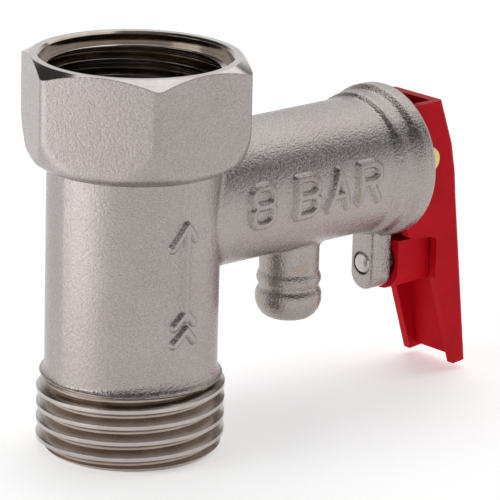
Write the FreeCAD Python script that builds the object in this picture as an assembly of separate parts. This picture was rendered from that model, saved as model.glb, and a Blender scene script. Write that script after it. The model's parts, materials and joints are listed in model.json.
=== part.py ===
import FreeCAD, Part
import math
import os

os.makedirs("parts", exist_ok=True)

V = FreeCAD.Vector

# ---------------------------------------------------------------- driving dimensions (mm)
# The run stands on +Z with its origin at the centre of the male thread's end face.
# The relief branch leaves along +X.

# G1/2 pipe thread, ISO 228: basic size, pitch and the land left on each crest
THREAD_MAJOR_R = 10.4775
THREAD_MINOR_R = 9.3155
THREAD_PITCH = 1.814
THREAD_DEPTH = 1.10
THREAD_LAND = 0.42
THREAD_ROOT = 0.25
THREAD_SECTORS = 8
THREAD_OVERSHOOT = 0.12
THREAD_LEAD = 4.0
THREAD_CREST_Z = 0.56

MALE_LENGTH = 8.55
MALE_END_R = 9.40
MALE_RELIEF_R = 9.55
MALE_RELIEF_Z = 7.75
COLLAR_R = 10.15
COLLAR_TOP_Z = 11.60
COLLAR_NECK_R = 9.30

TOP_Z = 44.60
HEX_AF = 23.20
HEX_CORNER_R = 1.20
HEX_BASE_Z = 32.60
HEX_FACE_R = 11.55
HEX_NECK_R = 10.55
HEX_BELLY_HEIGHT = 4.8
HEX_BELLY_STEPS = 8
HEX_FACE_RISE = 0.26
MOUTH_R = 10.76
COUNTERBORE_R = 10.50
COUNTERBORE_DEPTH = 1.25
FEMALE_FLOOR_Z = 33.90
FEMALE_START_Z = 34.90
FEMALE_BACK_R = 10.90

# Run: two forged halves that meet in a soft crease on the XZ plane
RUN_ARC_R = 9.95
RUN_ARC_SHIFT = 0.55

INLET_BORE_R = 7.00
INLET_BORE_TOP = 10.00
CHECK_PORT_R = 4.60
CHECK_SEAT_Z = 12.50
CHECK_LIP_R = 5.30
CHECK_FLOOR_Z = 12.00
LOWER_CHAMBER_R = 6.90
UPPER_CHAMBER_R = 7.20
GUIDE_SHOULDER_Z = 19.50
RING_GROOVE_R = 7.90
RING_GROOVE_Z = 21.25
RING_GROOVE_WIDTH = 1.00

# Forging fillets
TEE_FILLET_R = 1.20
BARB_FILLET_R = 0.80
LUG_EDGE_R = 0.50

# Relief branch
BRANCH_Z = 26.70
BRANCH_R = 7.85
BRANCH_END_X = 38.00
RIM_R = 8.95
PORT_R = 3.00
SEAT_POCKET_X = 11.50
SEAT_SLEEVE_R = 4.00
RELIEF_BORE_R = 6.00
PLUG_BORE_R = 6.40
PLUG_BORE_X = 30.50

# Drain barb under the branch
BARB_X = 23.60
BARB_R = 3.45
RIB_R = 3.82
BARB_END_Z = 10.40
DRAIN_R = 2.00

# Lug for the lever's lock screw
LUG_X0 = 35.20
LUG_HALF_Y = 1.95
LUG_END_Z = 13.15
SCREW_Z = 14.40
SCREW_R = 1.32
SCREW_HOLE_R = 1.38
SCREW_HEAD_R = 1.90

# Lever and its pin
PIN_X = 41.60
PIN_R = 1.55
PIN_HALF_Y = 4.35
LEVER_HALF_Y = 4.15
LEVER_WALL = 1.00
SPINDLE_R = 2.00
RUN_CLEAR = 0.05


# ---------------------------------------------------------------- helpers
def cylinder_z(radius, z0, z1, x=0.0, y=0.0):
    return Part.makeCylinder(radius, z1 - z0, V(x, y, z0))


def cylinder_x(radius, x0, x1, z=BRANCH_Z, y=0.0):
    return Part.makeCylinder(radius, x1 - x0, V(x0, y, z), V(1, 0, 0))


def cylinder_y(radius, y0, y1, x, z):
    return Part.makeCylinder(radius, y1 - y0, V(x, y0, z), V(0, 1, 0))


def tube_z(outer, inner, z0, z1):
    return cylinder_z(outer, z0, z1).cut(cylinder_z(inner, z0 - 1, z1 + 1))


def tube_x(outer, inner, x0, x1):
    return cylinder_x(outer, x0, x1).cut(cylinder_x(inner, x0 - 1, x1 + 1))


def box(x0, x1, y0, y1, z0, z1):
    return Part.makeBox(x1 - x0, y1 - y0, z1 - z0, V(x0, y0, z0))


def revolve_z(profile, x=0.0):
    """Turn a closed (radius, z) outline about a vertical axis at x."""
    points = [V(x + r, 0, z) for r, z in profile]
    face = Part.Face(Part.makePolygon(points + [points[0]]))
    return face.revolve(V(x, 0, 0), V(0, 0, 1), 360)


def revolve_x(profile):
    """Turn a closed (x, radius) outline about the branch axis."""
    points = [V(x, 0, BRANCH_Z + r) for x, r in profile]
    face = Part.Face(Part.makePolygon(points + [points[0]]))
    return face.revolve(V(0, 0, BRANCH_Z), V(1, 0, 0), 360)


def prism_xz(outline, y0, y1):
    """Extrude a closed (x, z) outline along Y."""
    points = [V(x, y0, z) for x, z in outline]
    face = Part.Face(Part.makePolygon(points + [points[0]]))
    return face.extrude(V(0, y1 - y0, 0))


def torus_x(ring_r, wire_r, x):
    return Part.makeTorus(ring_r, wire_r, V(x, 0, BRANCH_Z), V(1, 0, 0))


def fuse_all(shapes):
    return shapes[0].fuse(shapes[1:])


def groove_segment(surface_r, depth_sign, span, lead):
    """Short helical V groove: depth_sign -1 cuts into a shaft, +1 outwards from a bore."""
    root_r = surface_r + depth_sign * THREAD_DEPTH
    edge_r = surface_r - depth_sign * THREAD_OVERSHOOT
    half_root = THREAD_ROOT / 2
    flank = ((THREAD_PITCH - THREAD_LAND) / 2 - half_root) / THREAD_DEPTH
    half_edge = half_root + flank * (THREAD_DEPTH + THREAD_OVERSHOOT)
    corners = [(root_r, -half_root), (root_r, half_root), (edge_r, half_edge), (edge_r, -half_edge)]
    points = [V(r, 0, z) for r, z in corners]
    wire = Part.makePolygon(points + [points[0]])
    turn = (span + 2 * lead) / 360.0
    spine = Part.makeHelix(THREAD_PITCH, THREAD_PITCH * turn, surface_r)
    segment = Part.Wire(spine).makePipeShell([wire], True, True)
    segment.rotate(V(0, 0, 0), V(0, 0, 1), -lead)
    segment.translate(V(0, 0, -THREAD_PITCH * lead / 360.0))
    return segment


def threaded_ring(profile, surface_r, depth_sign, groove_z, turns):
    """Revolve a closed (radius, z) outline sector by sector and cut one helical groove through all."""
    span = 360.0 / THREAD_SECTORS
    points = [V(r, 0, z) for r, z in profile]
    face = Part.Face(Part.makePolygon(points + [points[0]]))
    segment = groove_segment(surface_r, depth_sign, span, THREAD_LEAD)
    sectors = []
    for index in range(THREAD_SECTORS):
        sector = face.revolve(V(0, 0, 0), V(0, 0, 1), span)
        rise = THREAD_PITCH * index / THREAD_SECTORS
        for turn in range(turns):
            tool = segment.copy()
            tool.translate(V(0, 0, groove_z + rise + THREAD_PITCH * turn))
            sector = sector.cut(tool)
        sector.rotate(V(0, 0, 0), V(0, 0, 1), span * index)
        sectors.append(sector)
    return fuse_all(sectors)


def coil(mean_r, wire_r, start, length, turns, along_x):
    """Helical spring with closed, flattened-looking end turns."""
    end_turns = 0.9
    body_turns = turns - 2 * end_turns
    end_pitch = 2.15 * wire_r
    end_rise = end_turns * end_pitch
    body_rise = length - 2 * wire_r - 2 * end_rise
    rises = [end_rise, body_rise, end_rise]
    counts = [end_turns, body_turns, end_turns]
    edges = []
    height = start + wire_r
    angle = 0.0
    for rise, count in zip(rises, counts):
        helix = Part.makeHelix(rise / count, rise, mean_r)
        helix.rotate(V(0, 0, 0), V(0, 0, 1), angle)
        helix.translate(V(0, 0, height))
        edges.extend(helix.Edges)
        height += rise
        angle += 360.0 * count
    spine = Part.Wire(edges)
    section = Part.Wire(Part.makeCircle(wire_r, V(mean_r, 0, start + wire_r), V(0, 1, 0)))
    spring = spine.makePipeShell([section], True, True)
    if along_x:
        spring.rotate(V(0, 0, 0), V(0, 1, 0), 90)
        spring.translate(V(0, 0, BRANCH_Z))
    return spring


def export(shape, name):
    shape.exportStep("parts/" + name + ".step")


# ---------------------------------------------------------------- raised marks on the body
def stroke(p, q, width, y0, y1):
    """One straight bar with round ends between two (x, z) points."""
    dx = q[0] - p[0]
    dz = q[1] - p[1]
    length = math.hypot(dx, dz)
    nx = -dz / length * width / 2
    nz = dx / length * width / 2
    outline = [
        (p[0] + nx, p[1] + nz),
        (q[0] + nx, q[1] + nz),
        (q[0] - nx, q[1] - nz),
        (p[0] - nx, p[1] - nz),
    ]
    bar = prism_xz(outline, y0, y1)
    ends = [cylinder_y(width / 2, y0, y1, p[0], p[1]), cylinder_y(width / 2, y0, y1, q[0], q[1])]
    return bar.fuse(ends)


# Each character is a set of polylines on a grid one unit wide and two units high
GLYPHS = {
    "8": [[(0.15, 1.05), (0, 1.3), (0, 1.75), (0.25, 2), (0.75, 2), (1, 1.75), (1, 1.3), (0.85, 1.05)],
          [(0.15, 1.05), (0.85, 1.05)],
          [(0.15, 1.05), (0, 0.8), (0, 0.25), (0.25, 0), (0.75, 0), (1, 0.25), (1, 0.8), (0.85, 1.05)]],
    "B": [[(0, 0), (0, 2), (0.7, 2), (1, 1.75), (1, 1.3), (0.7, 1.05), (0, 1.05)],
          [(0.7, 1.05), (1, 0.8), (1, 0.25), (0.7, 0), (0, 0)]],
    "A": [[(0, 0), (0.5, 2), (1, 0)], [(0.2, 0.7), (0.8, 0.7)]],
    "R": [[(0, 0), (0, 2), (0.7, 2), (1, 1.75), (1, 1.3), (0.7, 1.05), (0, 1.05)],
          [(0.5, 1.05), (1, 0)]],
}
RATING = [("8", 10.6), ("B", 17.3), ("A", 22.1), ("R", 26.9)]
RATING_WIDTH = 2.9
RATING_UNIT_Z = 2.15
RATING_BASE_Z = 24.9
RATING_SLANT = 0.10
# Width and height of each step of the raised marks, which rounds their flanks
MARK_LEVELS = [(1.05, 0.13), (0.85, 0.28), (0.55, 0.42)]


def strokes(lines, width, y0, y1):
    bars = [stroke(p, q, width, y0, y1) for line in lines for p, q in zip(line, line[1:])]
    return fuse_all(bars)


def rating_text():
    lines = []
    for character, x0 in RATING:
        for line in GLYPHS[character]:
            points = []
            for u, v in line:
                z = RATING_BASE_Z + v * RATING_UNIT_Z
                points.append((x0 + u * RATING_WIDTH + RATING_SLANT * v, z))
            lines.append(points)
    levels = []
    for width, height in MARK_LEVELS:
        shell = cylinder_x(BRANCH_R + height, 8.0, 32.0)
        levels.append(strokes(lines, width, -BRANCH_R - 1.5, -4.0).common(shell))
    return fuse_all(levels)


# Flow arrow: a shaft with one head and two tail chevrons, as (x, z) points
ARROW_X = -0.45
ARROW = [
    [(ARROW_X, 17.0), (ARROW_X, 27.2)],
    [(ARROW_X - 1.85, 25.1), (ARROW_X, 27.5), (ARROW_X + 1.15, 25.9)],
    [(ARROW_X - 1.55, 14.2), (ARROW_X, 15.7), (ARROW_X + 1.15, 14.4)],
    [(ARROW_X - 1.55, 16.2), (ARROW_X, 17.7), (ARROW_X + 1.15, 16.4)],
]


def flow_arrow():
    levels = []
    for width, height in MARK_LEVELS:
        shell = run_section(height, 12.0, 30.0)
        levels.append(strokes(ARROW, width, -RUN_ARC_R - 1.5, -7.0).common(shell))
    return fuse_all(levels)

# ---------------------------------------------------------------- valve body
def run_section(raised, z0, z1):
    """Lens of two arcs: the two halves of the forging."""
    front = cylinder_z(RUN_ARC_R + raised, z0, z1, 0, RUN_ARC_SHIFT)
    back = cylinder_z(RUN_ARC_R + raised, z0, z1, 0, -RUN_ARC_SHIFT)
    return front.common(back)


def rounded_hexagon(apothem, corner_r, z):
    """Wire of six sides joined by six corner arcs."""
    reach = (apothem - corner_r) / math.cos(math.radians(30))
    edges = []
    last = None
    first = None
    for index in range(6):
        middle = math.radians(60 * index)
        centre = V(reach * math.cos(middle), reach * math.sin(middle), z)
        points = []
        for turn in (-30, 0, 30):
            angle = middle + math.radians(turn)
            points.append(centre + V(corner_r * math.cos(angle), corner_r * math.sin(angle), 0))
        if last is None:
            first = points[0]
        else:
            edges.append(Part.makeLine(last, points[0]))
        edges.append(Part.Arc(*points).toShape())
        last = points[2]
    edges.append(Part.makeLine(last, first))
    return Part.Wire(edges)


def hex_belly():
    """Forged underside: a round neck that grows into the hexagon."""
    sections = []
    for index in range(HEX_BELLY_STEPS + 1):
        rise = index / HEX_BELLY_STEPS
        swell = min(1, rise / HEX_FACE_RISE)
        apothem = HEX_NECK_R + (HEX_AF / 2 - HEX_NECK_R) * math.sin(math.pi / 2 * swell)
        sharpening = math.sin(math.pi / 2 * rise)
        corner_r = (apothem - 0.15) * (1 - sharpening) + HEX_CORNER_R * sharpening
        sections.append(rounded_hexagon(apothem, corner_r, HEX_BASE_Z + HEX_BELLY_HEIGHT * rise))
    return Part.makeLoft(sections, True, False)


def hex_head():
    reach = HEX_AF / 2 / math.cos(math.radians(30)) + 1
    base_z = HEX_BASE_Z + HEX_BELLY_HEIGHT
    bar = Part.Face(rounded_hexagon(HEX_AF / 2, HEX_CORNER_R, base_z)).extrude(V(0, 0, TOP_Z - base_z))
    chamfer_drop = (reach - HEX_FACE_R) * math.tan(math.radians(30))
    envelope = revolve_z([
        (0, base_z),
        (reach, base_z),
        (reach, TOP_Z - chamfer_drop),
        (HEX_FACE_R, TOP_Z),
        (0, TOP_Z),
    ])
    return bar.common(envelope).fuse(hex_belly())


def barb():
    outline = [
        (0, BRANCH_Z),
        (BARB_R, BRANCH_Z),
        (BARB_R, 15.95),
        (BARB_R + 0.20, 15.45),
        (BARB_R + 0.28, 15.05),
        (BARB_R + 0.20, 14.65),
        (BARB_R + 0.02, 14.20),
        (BARB_R + 0.05, 13.95),
        (BARB_R + 0.30, 13.45),
        (RIB_R, 13.10),
        (RIB_R, 12.50),
        (BARB_R + 0.32, 12.15),
        (BARB_R + 0.10, 11.50),
        (BARB_R - 0.30, 10.90),
        (BARB_R - 0.75, 10.53),
        (BARB_R - 1.05, BARB_END_Z),
        (0, BARB_END_Z),
    ]
    return revolve_z(outline, BARB_X)


def rim():
    outline = [
        (30.0, 0),
        (30.0, BRANCH_R),
        (32.70, BRANCH_R),
        (33.05, BRANCH_R + 0.08),
        (33.55, BRANCH_R + 0.42),
        (33.90, BRANCH_R + 0.50),
        (34.95, BRANCH_R + 0.50),
        (35.40, BRANCH_R + 0.58),
        (35.75, BRANCH_R + 0.80),
        (36.10, RIM_R - 0.08),
        (36.45, RIM_R),
        (37.55, RIM_R),
        (37.85, RIM_R - 0.10),
        (BRANCH_END_X, RIM_R - 0.35),
        (BRANCH_END_X, 0),
    ]
    return revolve_x(outline)


def lug():
    plate = box(LUG_X0, BRANCH_END_X, -LUG_HALF_Y, LUG_HALF_Y, LUG_END_Z, BRANCH_Z - RELIEF_BORE_R - 1.5)
    tip = cylinder_x(LUG_HALF_Y, LUG_X0, BRANCH_END_X, LUG_END_Z)
    ear = plate.fuse(tip).removeSplitter()
    front = [edge for edge in ear.Edges if edge.BoundBox.XMax < LUG_X0 + 0.01 and edge.CenterOfMass.z < 18]
    return ear.makeFillet(LUG_EDGE_R, front)


def collar():
    """Forged flare above the male thread: a quarter of an ellipse from the run out to the collar."""
    base = MALE_LENGTH - 0.10
    foot = base + 0.25
    outline = [(INLET_BORE_R, COLLAR_TOP_Z), (INLET_BORE_R, base), (COLLAR_R - 0.12, base)]
    steps = 8
    for index in range(steps + 1):
        angle = math.radians(90 * index / steps)
        r = COLLAR_NECK_R + (COLLAR_R - COLLAR_NECK_R) * (1 - math.sin(angle))
        z = COLLAR_TOP_Z + (foot - COLLAR_TOP_Z) * math.cos(angle)
        outline.append((r, z))
    return revolve_z(outline)


def male_end():
    """Threaded inlet end with its chamfer and run-out groove."""
    chamfer = THREAD_MAJOR_R - MALE_END_R
    profile = [
        (INLET_BORE_R, 0),
        (MALE_END_R, 0),
        (THREAD_MAJOR_R, chamfer),
        (THREAD_MAJOR_R, MALE_RELIEF_Z),
        (MALE_RELIEF_R, MALE_RELIEF_Z + 0.35),
        (MALE_RELIEF_R, MALE_LENGTH + 0.50),
        (INLET_BORE_R, MALE_LENGTH + 0.50),
    ]
    groove_z = THREAD_CREST_Z - THREAD_PITCH / 2
    return threaded_ring(profile, THREAD_MAJOR_R, -1, groove_z, 5)


def female_ring():
    """Wall of the threaded outlet from its bore out to the backing cylinder."""
    ledge_z = TOP_Z - COUNTERBORE_DEPTH
    profile = [
        (THREAD_MINOR_R, FEMALE_FLOOR_Z),
        (FEMALE_BACK_R, FEMALE_FLOOR_Z),
        (FEMALE_BACK_R, TOP_Z),
        (MOUTH_R, TOP_Z),
        (COUNTERBORE_R, TOP_Z - (MOUTH_R - COUNTERBORE_R)),
        (COUNTERBORE_R, ledge_z),
        (THREAD_MINOR_R + 0.10, ledge_z),
        (THREAD_MINOR_R, ledge_z - 0.10),
    ]
    return threaded_ring(profile, THREAD_MINOR_R, 1, FEMALE_START_Z, 6)


def tee():
    """Run and branch joined by a forging fillet, one half at a time, then mirrored."""
    run = cylinder_z(RUN_ARC_R, MALE_LENGTH + 0.3, 38.0, 0, RUN_ARC_SHIFT)
    crossed = run.fuse(cylinder_x(BRANCH_R, 0, 34.0))
    half = crossed.common(box(-40, 40, -40, 0, 0, 60)).removeSplitter()
    seam = [edge for edge in half.Edges if edge.Curve.TypeId == "Part::GeomBSplineCurve"]
    half = half.makeFillet(TEE_FILLET_R, seam)
    whole = half.fuse(half.mirror(V(0, 0, 0), V(0, 1, 0))).removeSplitter()
    return whole.cut(box(-12, 12, -12, 12, 34.0, 40.0))


def add_barb(outer):
    """Join the barb to the branch and round the corner between them."""
    joined = outer.fuse(barb()).removeSplitter()
    seam = []
    for edge in joined.Edges:
        span = edge.BoundBox
        near_barb = span.XMin > BARB_X - 5 and span.XMax < BARB_X + 5
        on_branch = span.ZMin > BRANCH_Z - BRANCH_R - 0.5 and span.ZMax < BRANCH_Z - 5
        if near_barb and on_branch and span.YLength > 2:
            seam.append(edge)
    return joined.makeFillet(BARB_FILLET_R, seam)


def build_body():
    outer = add_barb(tee())
    outer = outer.fuse([rim(), lug(), collar(), hex_head(), rating_text(), flow_arrow()])
    cavity = [
        cylinder_z(INLET_BORE_R, 0, INLET_BORE_TOP),
        cylinder_z(CHECK_PORT_R, INLET_BORE_TOP - 1, CHECK_SEAT_Z + 1),
        cylinder_z(LOWER_CHAMBER_R, CHECK_SEAT_Z, GUIDE_SHOULDER_Z + 0.5),
        tube_z(LOWER_CHAMBER_R, CHECK_LIP_R, CHECK_FLOOR_Z, CHECK_SEAT_Z),
        cylinder_z(UPPER_CHAMBER_R, GUIDE_SHOULDER_Z, FEMALE_FLOOR_Z + 0.5),
        cylinder_z(RING_GROOVE_R, RING_GROOVE_Z, RING_GROOVE_Z + RING_GROOVE_WIDTH),
        cylinder_z(FEMALE_BACK_R, FEMALE_FLOOR_Z, TOP_Z + 1),
        cylinder_x(PORT_R, 0, SEAT_POCKET_X),
        cylinder_x(SEAT_SLEEVE_R, SEAT_POCKET_X - 3.0, SEAT_POCKET_X + 1),
        cylinder_x(RELIEF_BORE_R, SEAT_POCKET_X, BRANCH_END_X + 1),
        cylinder_x(PLUG_BORE_R, PLUG_BORE_X, BRANCH_END_X + 1),
        cylinder_z(DRAIN_R, BARB_END_Z - 1, BRANCH_Z - 3, BARB_X),
        cylinder_x(SCREW_HOLE_R, LUG_X0 - 1, BRANCH_END_X + 1, SCREW_Z),
    ]
    for tool in cavity:
        outer = outer.cut(tool)
    return outer.fuse([male_end(), female_ring()])


# ---------------------------------------------------------------- non-return valve in the run
STEM_R = 1.60
POPPET_Z = 13.75
POPPET_R = 5.90
POPPET_FACE_Z = POPPET_Z + 1.45
STUB_R = 1.55
STUB_BORE_R = 1.20
RING_EYE_R = 1.00
RING_EYE_X = -5.90
RING_EYE_Y = 3.05
RING_GAP_HALF = 2.40


def check_poppet():
    return revolve_z([
        (0, POPPET_Z),
        (STUB_BORE_R, POPPET_Z),
        (STUB_BORE_R, POPPET_Z - 0.9),
        (STUB_R, POPPET_Z - 0.9),
        (STUB_R, POPPET_Z),
        (POPPET_R, POPPET_Z),
        (POPPET_R, POPPET_FACE_Z - 0.3),
        (POPPET_R - 0.3, POPPET_FACE_Z),
        (STEM_R + 0.25, POPPET_FACE_Z),
        (STEM_R, POPPET_FACE_Z + 0.25),
        (STEM_R, 22.0),
        (STEM_R - 0.4, 22.4),
        (0, 22.4),
    ])


def check_seal():
    return tube_z(POPPET_R - 0.1, STUB_R + 0.07, CHECK_SEAT_Z + 0.02, POPPET_Z - 0.02)


def seal_retainer():
    """Button under the seal; its post grips the poppet's hollow stub."""
    return revolve_z([
        (0, 11.20),
        (2.90, 11.20),
        (3.40, 11.70),
        (3.40, CHECK_SEAT_Z),
        (STUB_R + RUN_CLEAR, CHECK_SEAT_Z),
        (STUB_R + RUN_CLEAR, CHECK_SEAT_Z + 0.30),
        (STUB_BORE_R - RUN_CLEAR, CHECK_SEAT_Z + 0.30),
        (STUB_BORE_R - RUN_CLEAR, POPPET_Z - 0.05),
        (0, POPPET_Z - 0.05),
    ])


def check_guide():
    ring = tube_z(UPPER_CHAMBER_R - RUN_CLEAR, 5.70, GUIDE_SHOULDER_Z, 21.20)
    hub = tube_z(2.70, STEM_R + RUN_CLEAR, GUIDE_SHOULDER_Z, 21.60)
    spokes = []
    for index in range(3):
        spoke = box(2.2, 6.2, -0.6, 0.6, GUIDE_SHOULDER_Z + 0.1, 21.0)
        spoke.rotate(V(0, 0, 0), V(0, 0, 1), 60 + 120 * index)
        spokes.append(spoke)
    return ring.fuse([hub] + spokes)


def retaining_ring():
    """Open spring ring in its groove above the guide, with an eye at each end."""
    bottom = RING_GROOVE_Z + 0.02
    top = RING_GROOVE_Z + RING_GROOVE_WIDTH - RUN_CLEAR
    ring = tube_z(RING_GROOVE_R - RUN_CLEAR, 6.50, bottom, top)
    ring = ring.cut(box(-10, 0, -RING_GAP_HALF, RING_GAP_HALF, bottom - 1, top + 1))
    for side in (-1, 1):
        ring = ring.fuse(cylinder_z(RING_EYE_R, bottom, top, RING_EYE_X, side * RING_EYE_Y))
    for side in (-1, 1):
        ring = ring.cut(cylinder_z(RING_EYE_R / 2, bottom - 1, top + 1, RING_EYE_X, side * RING_EYE_Y))
    return ring


# ---------------------------------------------------------------- relief valve in the branch
SEAT_LIP_X = 12.40
SEAL_BACK_X = 14.40
SHOULDER_X = 15.90
SPINDLE_X = 15.65
PLUG_X = 30.55
PLUG_END_X = 37.50
WASHER_X = 29.55


def relief_seat():
    return revolve_x([
        (SEAT_POCKET_X - 2.95, PORT_R),
        (SEAT_POCKET_X - 2.95, SEAT_SLEEVE_R - 0.22),
        (SEAT_POCKET_X - 2.75, SEAT_SLEEVE_R - 0.02),
        (SEAT_POCKET_X, SEAT_SLEEVE_R - 0.02),
        (SEAT_POCKET_X, 5.20),
        (SEAT_POCKET_X + 0.55, 5.20),
        (SEAT_POCKET_X + 0.55, 3.75),
        (SEAT_LIP_X, 3.45),
        (SEAT_LIP_X, PORT_R + 0.10),
        (SEAT_LIP_X - 0.10, PORT_R),
    ])


def relief_seal():
    return tube_x(4.15, 1.06, SEAT_LIP_X + 0.02, SEAL_BACK_X)


def relief_disc():
    """Brass cup that holds the seal, with a stub that centres the spring."""
    cup = revolve_x([
        (12.95, 4.20),
        (12.95, 4.85),
        (13.15, 5.05),
        (SHOULDER_X - 0.2, 5.05),
        (SHOULDER_X, 4.85),
        (SHOULDER_X, 2.90),
        (18.40, 2.90),
        (18.60, 2.70),
        (18.60, SPINDLE_R + 0.02),
        (SPINDLE_X - 0.05, SPINDLE_R + 0.02),
        (SPINDLE_X - 0.05, 1.04),
        (SEAL_BACK_X + 0.03, 1.04),
        (SEAL_BACK_X + 0.03, 4.20),
    ])
    for index in range(3):
        flat = box(12.0, SHOULDER_X + 0.5, -6, 6, BRANCH_Z + 4.55, BRANCH_Z + 8)
        flat.rotate(V(0, 0, BRANCH_Z), V(1, 0, 0), 120 * index)
        cup = cup.cut(flat)
    return cup


def seal_screw():
    screw = revolve_x([
        (11.10, 0),
        (11.10, 2.00),
        (11.45, 2.40),
        (SEAT_LIP_X, 2.40),
        (SEAT_LIP_X, 1.00),
        (17.10, 1.00),
        (17.40, 0.70),
        (17.40, 0),
    ])
    return screw.cut(box(10.9, 11.75, -3, 3, BRANCH_Z - 0.3, BRANCH_Z + 0.3))


def spindle():
    """Rod with a tapped inner end and a flattened eye for the cross pin."""
    rod = revolve_x([
        (SPINDLE_X, 1.03),
        (SPINDLE_X, SPINDLE_R - 0.15),
        (SPINDLE_X + 0.15, SPINDLE_R),
        (PIN_X - 1.5, SPINDLE_R),
        (PIN_X - 1.5, 0),
        (17.60, 0),
        (17.60, 1.03),
    ])
    eye = cylinder_y(2.55, -2.30, 2.30, PIN_X, BRANCH_Z)
    hole = cylinder_y(PIN_R + 0.02, -3, 3, PIN_X, BRANCH_Z)
    return rod.fuse(eye).cut(hole)


def spring_washer():
    return tube_x(5.60, SPINDLE_R + 0.30, WASHER_X, WASHER_X + 0.90)


def adjusting_plug():
    """Screwed end plug: outer seal groove, thread form, spindle seal groove and driver slot."""
    crest = PLUG_BORE_R - RUN_CLEAR
    outline = [
        (PLUG_X, SPINDLE_R + RUN_CLEAR),
        (PLUG_X, crest - 0.3),
        (PLUG_X + 0.3, crest),
        (PLUG_X + 0.7, crest),
        (PLUG_X + 0.7, 5.03),
        (PLUG_X + 2.3, 5.03),
        (PLUG_X + 2.3, crest),
    ]
    pitch = 1.0
    for turn in range(3):
        x = PLUG_X + 2.75 + turn * pitch
        outline.extend([(x, crest), (x + 0.40, crest - 0.55), (x + 0.80, crest)])
    outline.extend([
        (PLUG_END_X - 0.3, crest),
        (PLUG_END_X, crest - 0.3),
        (PLUG_END_X, SPINDLE_R + 0.3),
        (PLUG_END_X - 0.25, SPINDLE_R + RUN_CLEAR),
        (34.90, SPINDLE_R + RUN_CLEAR),
        (34.90, 3.33),
        (33.40, 3.33),
        (33.40, SPINDLE_R + RUN_CLEAR),
    ])
    plug = revolve_x(outline)
    slot = box(PLUG_END_X - 1.2, PLUG_END_X + 1, -7, 7, BRANCH_Z - 0.9, BRANCH_Z + 0.9)
    return plug.cut(slot)


def plug_seal():
    return torus_x(5.71, 0.66, PLUG_X + 1.5)


def spindle_seal():
    return torus_x(2.68, 0.62, 34.15)


# ---------------------------------------------------------------- lever, pin and lock screw
LEVER_OUTER = [(43.55, 33.55), (45.55, 28.10), (46.25, 24.60), (46.62, 21.00), (49.15, 0.95)]
LEVER_INNER = [
    (46.95, 0.75),
    (43.90, 10.10),
    (43.35, 12.00),
    (43.25, 16.90),
    (42.70, 17.25),
    (39.30, 17.55),
    (38.60, 17.95),
    (38.25, 18.90),
    (38.25, 29.40),
    (38.85, 32.70),
    (39.15, 33.35),
    (39.80, 33.55),
]
POCKET_OUTER = [(42.25, 33.60), (44.20, 28.25), (44.93, 24.60), (45.30, 21.00), (47.80, 1.40)]
POCKET_OPEN = [(52.0, 1.40), (52.0, -2.0), (30.0, -2.0), (30.0, 40.0), (42.25, 40.0)]
LEVER_EDGE_R = 0.75
BOSS_HALF_Y = 2.75
BOSS_Z = 13.60
BOSS_TOP = 17.10
BOSS_BORE_R = 2.30


def is_outer_rim(edge):
    """True for the long edges where the side walls meet the outer face."""
    ends = [(vertex.Point.x, vertex.Point.z) for vertex in edge.Vertexes]
    found = [min(math.dist(end, knot) for knot in LEVER_OUTER) for end in ends]
    return max(found) < 0.01 and edge.BoundBox.YLength < 0.01


def lever():
    """Moulded channel: two cam walls and an outer web, with a bored boss inside the web."""
    channel = prism_xz(LEVER_OUTER + LEVER_INNER, -LEVER_HALF_Y, LEVER_HALF_Y)
    channel = channel.makeFillet(LEVER_EDGE_R, [edge for edge in channel.Edges if is_outer_rim(edge)])
    inner = LEVER_HALF_Y - LEVER_WALL
    channel = channel.cut(prism_xz(POCKET_OUTER + POCKET_OPEN, -inner, inner))
    boss = box(38.40, 45.80, -BOSS_HALF_Y, BOSS_HALF_Y, BOSS_Z, BOSS_TOP)
    boss = boss.fuse(cylinder_x(BOSS_HALF_Y, 38.40, 46.20, BOSS_Z))
    channel = channel.fuse(boss)
    channel = channel.cut(cylinder_x(BOSS_BORE_R, 37.0, 52.0, SCREW_Z))
    return channel.cut(cylinder_y(PIN_R + RUN_CLEAR, -6, 6, PIN_X, BRANCH_Z))


def cross_pin():
    pin = cylinder_y(PIN_R, -PIN_HALF_Y, PIN_HALF_Y, PIN_X, BRANCH_Z)
    return pin.makeChamfer(0.15, [pin.Edges[0], pin.Edges[2]])


def lock_screw():
    """Slotted screw: its rounded point shows in the lug, its head sits inside the lever's boss."""
    point = [
        (LUG_X0 - 0.25, 0),
        (LUG_X0 - 0.20, SCREW_R - 0.80),
        (LUG_X0 - 0.05, SCREW_R - 0.30),
        (LUG_X0 + 0.25, SCREW_R),
        (BRANCH_END_X + 0.10, SCREW_R),
        (BRANCH_END_X + 0.10, SCREW_HEAD_R),
        (BRANCH_END_X + 1.50, SCREW_HEAD_R),
        (BRANCH_END_X + 1.70, SCREW_HEAD_R - 0.20),
        (BRANCH_END_X + 1.70, 0),
    ]
    screw = revolve_x(point)
    screw.translate(V(0, 0, SCREW_Z - BRANCH_Z))
    slot = box(BRANCH_END_X + 1.0, BRANCH_END_X + 3, -3, 3, SCREW_Z - 0.3, SCREW_Z + 0.3)
    return screw.cut(slot)


# ---------------------------------------------------------------- springs
def check_spring():
    start = POPPET_FACE_Z + 0.05
    return coil(2.50, 0.20, start, GUIDE_SHOULDER_Z - 0.05 - start, 4.0, False)


def relief_spring():
    start = SHOULDER_X + 0.05
    return coil(4.00, 0.60, start, WASHER_X - 0.05 - start, 6.5, True)


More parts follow.
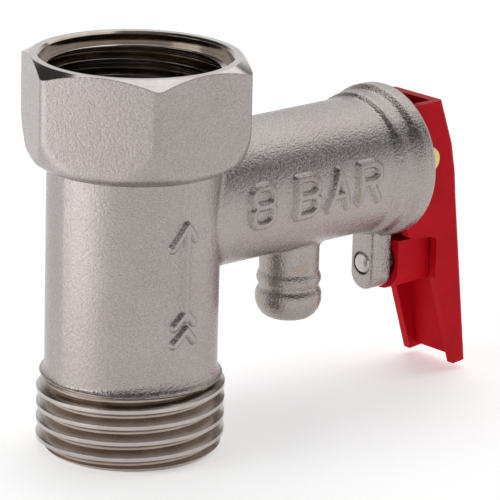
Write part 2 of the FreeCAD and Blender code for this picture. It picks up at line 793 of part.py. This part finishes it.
# ---------------------------------------------------------------- write the pieces
PIECES = {
    "valve_body": build_body,
    "check_poppet": check_poppet,
    "check_seal": check_seal,
    "seal_retainer": seal_retainer,
    "check_guide": check_guide,
    "retaining_ring": retaining_ring,
    "relief_seat": relief_seat,
    "relief_seal": relief_seal,
    "relief_disc": relief_disc,
    "seal_screw": seal_screw,
    "spindle": spindle,
    "spring_washer": spring_washer,
    "adjusting_plug": adjusting_plug,
    "plug_seal": plug_seal,
    "spindle_seal": spindle_seal,
    "lever": lever,
    "cross_pin": cross_pin,
    "lock_screw": lock_screw,
    "check_spring": check_spring,
    "relief_spring": relief_spring,
}

for name, make in PIECES.items():
    export(make(), name)
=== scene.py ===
import json
import math

import bpy
from mathutils import Matrix, Vector


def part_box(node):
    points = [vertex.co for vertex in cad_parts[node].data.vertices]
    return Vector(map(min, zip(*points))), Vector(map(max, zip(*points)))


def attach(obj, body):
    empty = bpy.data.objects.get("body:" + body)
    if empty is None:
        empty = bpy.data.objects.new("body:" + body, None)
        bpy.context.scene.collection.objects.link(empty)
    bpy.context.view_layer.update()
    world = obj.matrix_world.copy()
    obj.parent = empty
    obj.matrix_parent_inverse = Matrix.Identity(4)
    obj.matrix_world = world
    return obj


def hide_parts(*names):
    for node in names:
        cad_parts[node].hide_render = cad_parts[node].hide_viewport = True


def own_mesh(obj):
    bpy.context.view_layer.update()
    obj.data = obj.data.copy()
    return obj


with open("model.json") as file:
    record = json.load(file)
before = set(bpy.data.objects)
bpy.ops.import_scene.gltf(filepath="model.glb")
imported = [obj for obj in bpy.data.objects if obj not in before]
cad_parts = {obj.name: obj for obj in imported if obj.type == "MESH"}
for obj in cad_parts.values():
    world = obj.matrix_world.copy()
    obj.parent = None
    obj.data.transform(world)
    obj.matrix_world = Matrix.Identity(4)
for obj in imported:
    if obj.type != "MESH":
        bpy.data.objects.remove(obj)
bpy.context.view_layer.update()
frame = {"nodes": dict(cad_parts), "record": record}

MM = 0.001

# ------------------------------------------------------------------ places taken from the frame
BODY_LOW, BODY_HIGH = [Vector(corner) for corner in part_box("valve_body")]
PIN_LOW, PIN_HIGH = [Vector(corner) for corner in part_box("cross_pin")]
TOP_Z = BODY_HIGH.z
BRANCH_Z = (PIN_LOW.z + PIN_HIGH.z) / 2
BRANCH_R = 7.85 * MM
THREAD_TOP_Z = 8.60 * MM
THREAD_MINOR_R = 9.32 * MM
THREAD_MAJOR_R = 10.48 * MM
MOUTH_FLOOR_Z = 33.9 * MM
MOUTH_WALL_R = 10.95 * MM
MOUTH_EDGE_R = 10.76 * MM
CHAMBER_WALL_R = 8.6 * MM
BARB_X = 23.60 * MM
BARB_TOP_Z = 17.5 * MM
RATING_X = (10.5 * MM, 31.0 * MM)
RATING_HALF_HEIGHT = 6.0 * MM
VALVE_MIDDLE = Vector((0.015, 0, 0.022))
FLOOR_GAP = 0.05 * MM

# ------------------------------------------------------------------ camera
CAMERA_AZIMUTH = math.radians(-42.671)
CAMERA_ELEVATION = math.radians(16.803)
CAMERA_ROLL = math.radians(1.578)
CAMERA_DISTANCE = 421.087 * MM
CAMERA_TARGET = Vector((14.273, -3.486, 20.666)) * MM
FOCAL_IN_FRAME_WIDTHS = 7.5386
SENSOR_WIDTH = 36.0


def add_camera():
    """Camera at the reference's viewing angle, looking at the valve's middle."""
    a, e, r = CAMERA_AZIMUTH, CAMERA_ELEVATION, CAMERA_ROLL
    back = Vector((math.sin(a) * math.cos(e), -math.cos(a) * math.cos(e), math.sin(e)))
    level = Vector((math.cos(a), math.sin(a), 0))
    upright = back.cross(level)
    right = level * math.cos(r) + upright * math.sin(r)
    up = upright * math.cos(r) - level * math.sin(r)
    data = bpy.data.cameras.new("camera")
    data.sensor_width = SENSOR_WIDTH
    data.lens = FOCAL_IN_FRAME_WIDTHS * SENSOR_WIDTH
    data.clip_start = 0.01
    data.clip_end = 20.0
    camera = bpy.data.objects.new("camera", data)
    bpy.context.scene.collection.objects.link(camera)
    turn = Matrix((right, up, back)).transposed()
    camera.matrix_world = Matrix.Translation(CAMERA_TARGET + back * CAMERA_DISTANCE) @ turn.to_4x4()
    bpy.context.scene.camera = camera


# ------------------------------------------------------------------ lights and floor
def area_light(name, azimuth, elevation, distance, size, power):
    """Soft box aimed at the valve from an azimuth (0 is the -Y side) and an elevation in degrees."""
    a, e = math.radians(azimuth), math.radians(elevation)
    away = Vector((math.sin(a) * math.cos(e), -math.cos(a) * math.cos(e), math.sin(e)))
    data = bpy.data.lights.new(name, "AREA")
    data.shape = "RECTANGLE"
    data.size, data.size_y = size
    data.energy = power
    light = bpy.data.objects.new(name, data)
    light.location = VALVE_MIDDLE + away * distance
    light.rotation_euler = away.to_track_quat("Z", "Y").to_euler()
    bpy.context.scene.collection.objects.link(light)


def add_world():
    """Studio surround: white up to the horizon, a dim upper wall and a grey ceiling."""
    world = bpy.data.worlds.new("studio")
    world.use_nodes = True
    tree = world.node_tree
    background = tree.nodes["Background"]
    coords = tree.nodes.new("ShaderNodeTexCoord")
    split = tree.nodes.new("ShaderNodeSeparateXYZ")
    ramp = tree.nodes.new("ShaderNodeValToRGB")
    stops = [(0.0, 1.0), (0.26, 1.0), (0.40, 0.22), (0.55, 0.06), (0.88, 0.05), (1.0, 0.30)]
    while len(ramp.color_ramp.elements) < len(stops):
        ramp.color_ramp.elements.new(0.5)
    for element, (height, level) in zip(ramp.color_ramp.elements, stops):
        element.position = height
        element.color = (level, level, level, 1)
    tree.links.new(coords.outputs["Generated"], split.inputs[0])
    tree.links.new(split.outputs["Z"], ramp.inputs["Fac"])
    tree.links.new(ramp.outputs["Color"], background.inputs["Color"])
    background.inputs["Strength"].default_value = 0.95
    bpy.context.scene.world = world


def add_stage():
    add_world()
    area_light("overhead", 112, 60, 0.70, (0.90, 0.90), 3.4)
    area_light("left_card", -101, 4, 0.0585, (0.038, 0.050), 0.0050)
    area_light("left", -104, 25, 0.60, (0.40, 0.40), 0.58)
    bpy.ops.mesh.primitive_plane_add(size=6.0, location=(0, 0, BODY_LOW.z - FLOOR_GAP))
    floor = bpy.context.object
    floor.name = "floor"
    floor.data.materials.append(floor_material())


def floor_material():
    material = bpy.data.materials.new("floor_paper")
    material.use_nodes = True
    shader = material.node_tree.nodes["Principled BSDF"]
    shader.inputs["Base Color"].default_value = (0.95, 0.95, 0.95, 1)
    shader.inputs["Roughness"].default_value = 0.9
    shader.inputs["Emission Color"].default_value = (1, 1, 1, 1)
    shader.inputs["Emission Strength"].default_value = 0.40
    return material


# ------------------------------------------------------------------ node helper
class Graph:
    """One material's node tree, with short calls for the nodes used here."""

    def __init__(self, name):
        self.material = bpy.data.materials.new(name)
        self.material.use_nodes = True
        self.tree = self.material.node_tree
        self.shader = self.tree.nodes["Principled BSDF"]
        self.coords = self.tree.nodes.new("ShaderNodeTexCoord").outputs["Object"]

    def feed(self, value, socket):
        """Link a socket, or set a plain number or colour."""
        if hasattr(value, "is_linked"):
            self.tree.links.new(value, socket)
        elif isinstance(value, (int, float)):
            socket.default_value = value
        else:
            socket.default_value = (*value, 1) if socket.type == "RGBA" else value

    def split(self, vector):
        node = self.tree.nodes.new("ShaderNodeSeparateXYZ")
        self.feed(vector, node.inputs[0])
        return node.outputs

    def normal_z(self):
        return self.split(self.tree.nodes.new("ShaderNodeNewGeometry").outputs["Normal"])["Z"]

    def stretch(self, scale):
        node = self.tree.nodes.new("ShaderNodeMapping")
        node.inputs["Scale"].default_value = scale
        self.feed(self.coords, node.inputs["Vector"])
        return node.outputs["Vector"]

    def noise(self, scale, detail=2.0, roughness=0.5, vector=None):
        node = self.tree.nodes.new("ShaderNodeTexNoise")
        node.inputs["Scale"].default_value = scale
        node.inputs["Detail"].default_value = detail
        node.inputs["Roughness"].default_value = roughness
        self.feed(vector or self.coords, node.inputs["Vector"])
        return node.outputs["Fac"]

    def ramp(self, source, stops):
        node = self.tree.nodes.new("ShaderNodeValToRGB")
        elements = node.color_ramp.elements
        while len(elements) < len(stops):
            elements.new(0.5)
        for element, (position, colour) in zip(elements, stops):
            element.position = position
            element.color = (*colour, 1)
        self.feed(source, node.inputs["Fac"])
        return node.outputs["Color"]

    def mix(self, factor, a, b, blend="MIX"):
        node = self.tree.nodes.new("ShaderNodeMix")
        node.data_type = "RGBA"
        node.blend_type = blend
        self.feed(factor, node.inputs[0])
        self.feed(a, node.inputs[6])
        self.feed(b, node.inputs[7])
        return node.outputs[2]

    def math(self, operation, a, b=0.0):
        node = self.tree.nodes.new("ShaderNodeMath")
        node.operation = operation
        self.feed(a, node.inputs[0])
        self.feed(b, node.inputs[1])
        return node.outputs[0]

    def rise(self, value, low, high, out_low=0.0, out_high=1.0):
        """Smooth step from out_low below `low` to out_high above `high`."""
        node = self.tree.nodes.new("ShaderNodeMapRange")
        node.interpolation_type = "SMOOTHSTEP"
        for socket, number in zip(node.inputs[1:5], (low, high, out_low, out_high)):
            socket.default_value = number
        self.feed(value, node.inputs[0])
        return node.outputs[0]

    def length(self, a, b):
        total = self.math("ADD", self.math("MULTIPLY", a, a), self.math("MULTIPLY", b, b))
        return self.math("SQRT", total)

    def soft_edges(self, radius):
        """Normal with every edge rounded over a small radius."""
        node = self.tree.nodes.new("ShaderNodeBevel")
        node.samples = 8
        self.feed(radius, node.inputs["Radius"])
        return node.outputs["Normal"]

    def bump(self, height, distance, normal=None):
        node = self.tree.nodes.new("ShaderNodeBump")
        node.inputs["Strength"].default_value = 1.0
        node.inputs["Distance"].default_value = distance
        self.feed(height, node.inputs["Height"])
        if normal is not None:
            self.feed(normal, node.inputs["Normal"])
        return node.outputs["Normal"]

    def finish(self, colour, roughness, normal, metallic=0.0):
        self.feed(colour, self.shader.inputs["Base Color"])
        self.feed(roughness, self.shader.inputs["Roughness"])
        self.feed(normal, self.shader.inputs["Normal"])
        self.shader.inputs["Metallic"].default_value = metallic
        return self.material


def grey(level):
    return (level, level, level)


# ------------------------------------------------------------------ nickel on the forging
def machined_mask(g, x, y, z):
    """1 where a tool has cut the forging: both threads, the mouth and the head's top chamfer."""
    radius = g.length(x, y)
    male = g.math("MULTIPLY", g.rise(z, THREAD_TOP_Z - 0.1 * MM, THREAD_TOP_Z + 0.1 * MM, 1, 0),
                  g.rise(radius, 12 * MM, 13 * MM, 1, 0))
    mouth = g.math("MULTIPLY", g.rise(z, MOUTH_FLOOR_Z, MOUTH_FLOOR_Z + 0.1 * MM),
                   g.rise(radius, MOUTH_WALL_R - 0.1 * MM, MOUTH_WALL_R, 1, 0))
    chamber = g.rise(radius, CHAMBER_WALL_R, CHAMBER_WALL_R + 0.1 * MM, 1, 0)
    mouth = g.math("MAXIMUM", mouth, chamber)
    top = g.math("MULTIPLY", g.rise(z, TOP_Z - 4 * MM, TOP_Z - 3.5 * MM), g.rise(g.normal_z(), 0.5, 0.7))
    return g.math("MAXIMUM", g.math("MAXIMUM", male, mouth), top), radius, top


def blasted_nickel(g):
    """Colour, roughness and height of the sand-blasted skin."""
    cloud = g.noise(130.0, 3.0, 0.55)
    grain = g.noise(5400.0, 1.5, 0.55)
    pits = g.noise(2900.0, 2.0, 0.55)
    tones = [(0.30, (0.375, 0.333, 0.320)), (0.55, (0.392, 0.352, 0.339)), (0.75, (0.408, 0.370, 0.355))]
    tone = g.ramp(cloud, tones)
    speck = g.ramp(grain, [(0.34, grey(0.88)), (0.50, grey(1.0)), (0.66, grey(1.08))])
    colour = g.mix(1.0, tone, speck, "MULTIPLY")
    roughness = g.ramp(pits, [(0.3, grey(0.22)), (0.7, grey(0.33))])
    height = g.math("ADD", grain, g.math("MULTIPLY", pits, 0.7))
    return colour, roughness, height


def machined_nickel(g, radius, z, top):
    """Colour, roughness and height of the turned surfaces, brown where the plating is thin in the grooves."""
    rings = g.noise(1.0, 2.0, 0.6, g.stretch((60.0, 60.0, 9000.0)))
    smear = g.noise(1.0, 3.0, 0.6, g.stretch((300.0, 300.0, 900.0)))
    male = g.rise(radius, THREAD_MAJOR_R - 0.60 * MM, THREAD_MAJOR_R - 0.25 * MM)
    female = g.rise(radius, THREAD_MINOR_R + 0.08 * MM, THREAD_MINOR_R + 0.35 * MM, 1, 0)
    face = g.math("MULTIPLY", top, g.rise(radius, MOUTH_EDGE_R - 0.1 * MM, MOUTH_EDGE_R))
    crest = g.math("MAXIMUM", g.mix(g.rise(z, 15 * MM, 20 * MM), male, female), face)
    groove_tone = g.ramp(smear, [(0.3, (0.330, 0.272, 0.228)), (0.7, (0.430, 0.370, 0.320))])
    crest_tone = g.ramp(smear, [(0.3, (0.430, 0.392, 0.372)), (0.7, (0.530, 0.492, 0.472))])
    colour = g.mix(crest, groove_tone, crest_tone)
    worn = g.ramp(smear, [(0.3, grey(0.17)), (0.7, grey(0.27))])
    fresh = g.ramp(smear, [(0.3, grey(0.09)), (0.7, grey(0.16))])
    roughness = g.mix(g.rise(z, 15 * MM, 20 * MM), worn, fresh)
    return colour, roughness, rings


BARE_BRASS = (0.36, 0.285, 0.215)


def brass_wear(g, x, y, z):
    """Mask of places where brass shows through: patches on the barb and along the raised marks."""
    patch = g.rise(g.noise(700.0, 3.0, 0.6), 0.48, 0.66)
    from_barb = g.math("ABSOLUTE", g.math("SUBTRACT", x, BARB_X))
    near_barb = g.rise(from_barb, 4.2 * MM, 5.0 * MM, 1, 0)
    near_barb = g.math("MULTIPLY", near_barb, g.rise(z, BARB_TOP_Z, BARB_TOP_Z + 2 * MM, 1, 0))
    first_x, last_x = RATING_X
    top_z = BRANCH_Z + RATING_HALF_HEIGHT
    bottom_z = BRANCH_Z - RATING_HALF_HEIGHT
    off_axis = g.length(y, g.math("SUBTRACT", z, BRANCH_Z))
    marks = g.rise(off_axis, BRANCH_R + 0.12 * MM, BRANCH_R + 0.30 * MM)
    marks = g.math("MULTIPLY", marks, g.rise(x, last_x, last_x + 1.5 * MM, 1, 0))
    marks = g.math("MULTIPLY", marks, g.rise(x, first_x - 1 * MM, first_x))
    marks = g.math("MULTIPLY", marks, g.rise(z, top_z - 1 * MM, top_z, 1, 0))
    marks = g.math("MULTIPLY", marks, g.rise(z, bottom_z, bottom_z + 1 * MM))
    worn = g.math("MAXIMUM", g.math("MULTIPLY", near_barb, 0.7), g.math("MULTIPLY", marks, 0.6))
    return g.math("MULTIPLY", patch, worn)


def nickel_material():
    g = Graph("nickel_body")
    place = g.split(g.coords)
    x, y, z = place["X"], place["Y"], place["Z"]
    mask, radius, top = machined_mask(g, x, y, z)
    skin_colour, skin_roughness, skin_height = blasted_nickel(g)
    cut_colour, cut_roughness, cut_height = machined_nickel(g, radius, z, top)
    skin_colour = g.mix(brass_wear(g, x, y, z), skin_colour, BARE_BRASS)
    colour = g.mix(mask, skin_colour, cut_colour)
    roughness = g.mix(mask, skin_roughness, cut_roughness)
    skin_weight = g.math("MULTIPLY", skin_height, g.math("SUBTRACT", 1.0, mask))
    edge = g.rise(mask, 0.3, 0.7, 0.30 * MM, 0.06 * MM)
    normal = g.bump(skin_weight, 0.066 * MM, g.soft_edges(edge))
    normal = g.bump(g.math("MULTIPLY", cut_height, mask), 0.006 * MM, normal)
    return g.finish(colour, roughness, normal, metallic=1.0)


# ------------------------------------------------------------------ the other materials
def turned_metal(name, colour, roughness, marks_scale):
    """Machined or drawn metal with fine marks and slight staining."""
    g = Graph(name)
    marks = g.noise(1.0, 3.0, 0.6, g.stretch(marks_scale))
    stain = g.noise(400.0, 3.0, 0.6)
    dark = tuple(channel * 0.72 for channel in colour)
    light = tuple(min(1.0, channel * 1.10) for channel in colour)
    tone = g.ramp(stain, [(0.30, dark), (0.65, light)])
    rough = g.ramp(marks, [(0.3, grey(roughness * 0.7)), (0.7, grey(roughness * 1.3))])
    return g.finish(tone, rough, g.bump(marks, 0.010 * MM), metallic=1.0)


def moulded(name, colour, roughness, grain=0.012, specular=0.5):
    """Moulded plastic or rubber: faint flow clouds, fine grain and shallow waves."""
    g = Graph(name)
    cloud = g.noise(220.0, 3.0, 0.5)
    fine = g.noise(2200.0, 2.0, 0.5)
    waves = g.noise(260.0, 1.0, 0.4)
    dark = tuple(channel * 0.88 for channel in colour)
    light = tuple(min(1.0, channel * 1.06) for channel in colour)
    tone = g.ramp(cloud, [(0.3, dark), (0.7, light)])
    rough = g.ramp(fine, [(0.3, grey(roughness * 0.85)), (0.7, grey(roughness * 1.15))])
    normal = g.bump(waves, 0.050 * MM)
    g.shader.inputs["Specular IOR Level"].default_value = specular
    return g.finish(tone, rough, g.bump(fine, grain * MM, normal))


def dress_nodes():
    """Give every CAD node the material of its slot in the record."""
    around_x = (9000.0, 80.0, 80.0)
    along = (700.0, 700.0, 700.0)
    materials = {
        "nickel_body": nickel_material(),
        "bare_brass": turned_metal("bare_brass", (0.72, 0.53, 0.25), 0.28, around_x),
        "pin_brass": turned_metal("pin_brass", (0.76, 0.58, 0.28), 0.30, (900.0, 900.0, 900.0)),
        "spring_steel": turned_metal("spring_steel", (0.56, 0.56, 0.56), 0.25, along),
        "seat_steel": turned_metal("seat_steel", (0.62, 0.62, 0.63), 0.22, around_x),
        "screw_steel": turned_metal("screw_steel", (0.58, 0.55, 0.50), 0.34, (1500.0, 1500.0, 1500.0)),
        "black_rubber": moulded("black_rubber", (0.022, 0.022, 0.023), 0.60),
        "white_acetal": moulded("white_acetal", (0.80, 0.79, 0.74), 0.42),
        "red_plastic": moulded("red_plastic", (0.520, 0.0040, 0.0130), 0.45, specular=0.06),
    }
    slots = {entry["node"]: entry["material_slot"] for entry in frame["record"]["subparts"]}
    for node, slot in slots.items():
        target = frame["nodes"][node]
        for place in target.material_slots:
            place.material = materials[slot]


def add_springs():
    """Copies of the spring meshes, parented to the housing and shown in place of the CAD nodes."""
    springs = [
        ("check_spring", "check_lift", Vector((0, 0, 1))),
        ("relief_spring", "spindle_pull", Vector((1, 0, 0))),
    ]
    for node, joint, axis in springs:
        source = frame["nodes"][node]
        coil = bpy.data.objects.new(node + "_coil", source.data.copy())
        bpy.context.scene.collection.objects.link(coil)
        coil.matrix_world = source.matrix_world.copy()
        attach(coil, "housing")
        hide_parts(node)
        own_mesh(coil)


bpy.context.scene.view_settings.view_transform = "Standard"
add_camera()
add_stage()
dress_nodes()
add_springs()
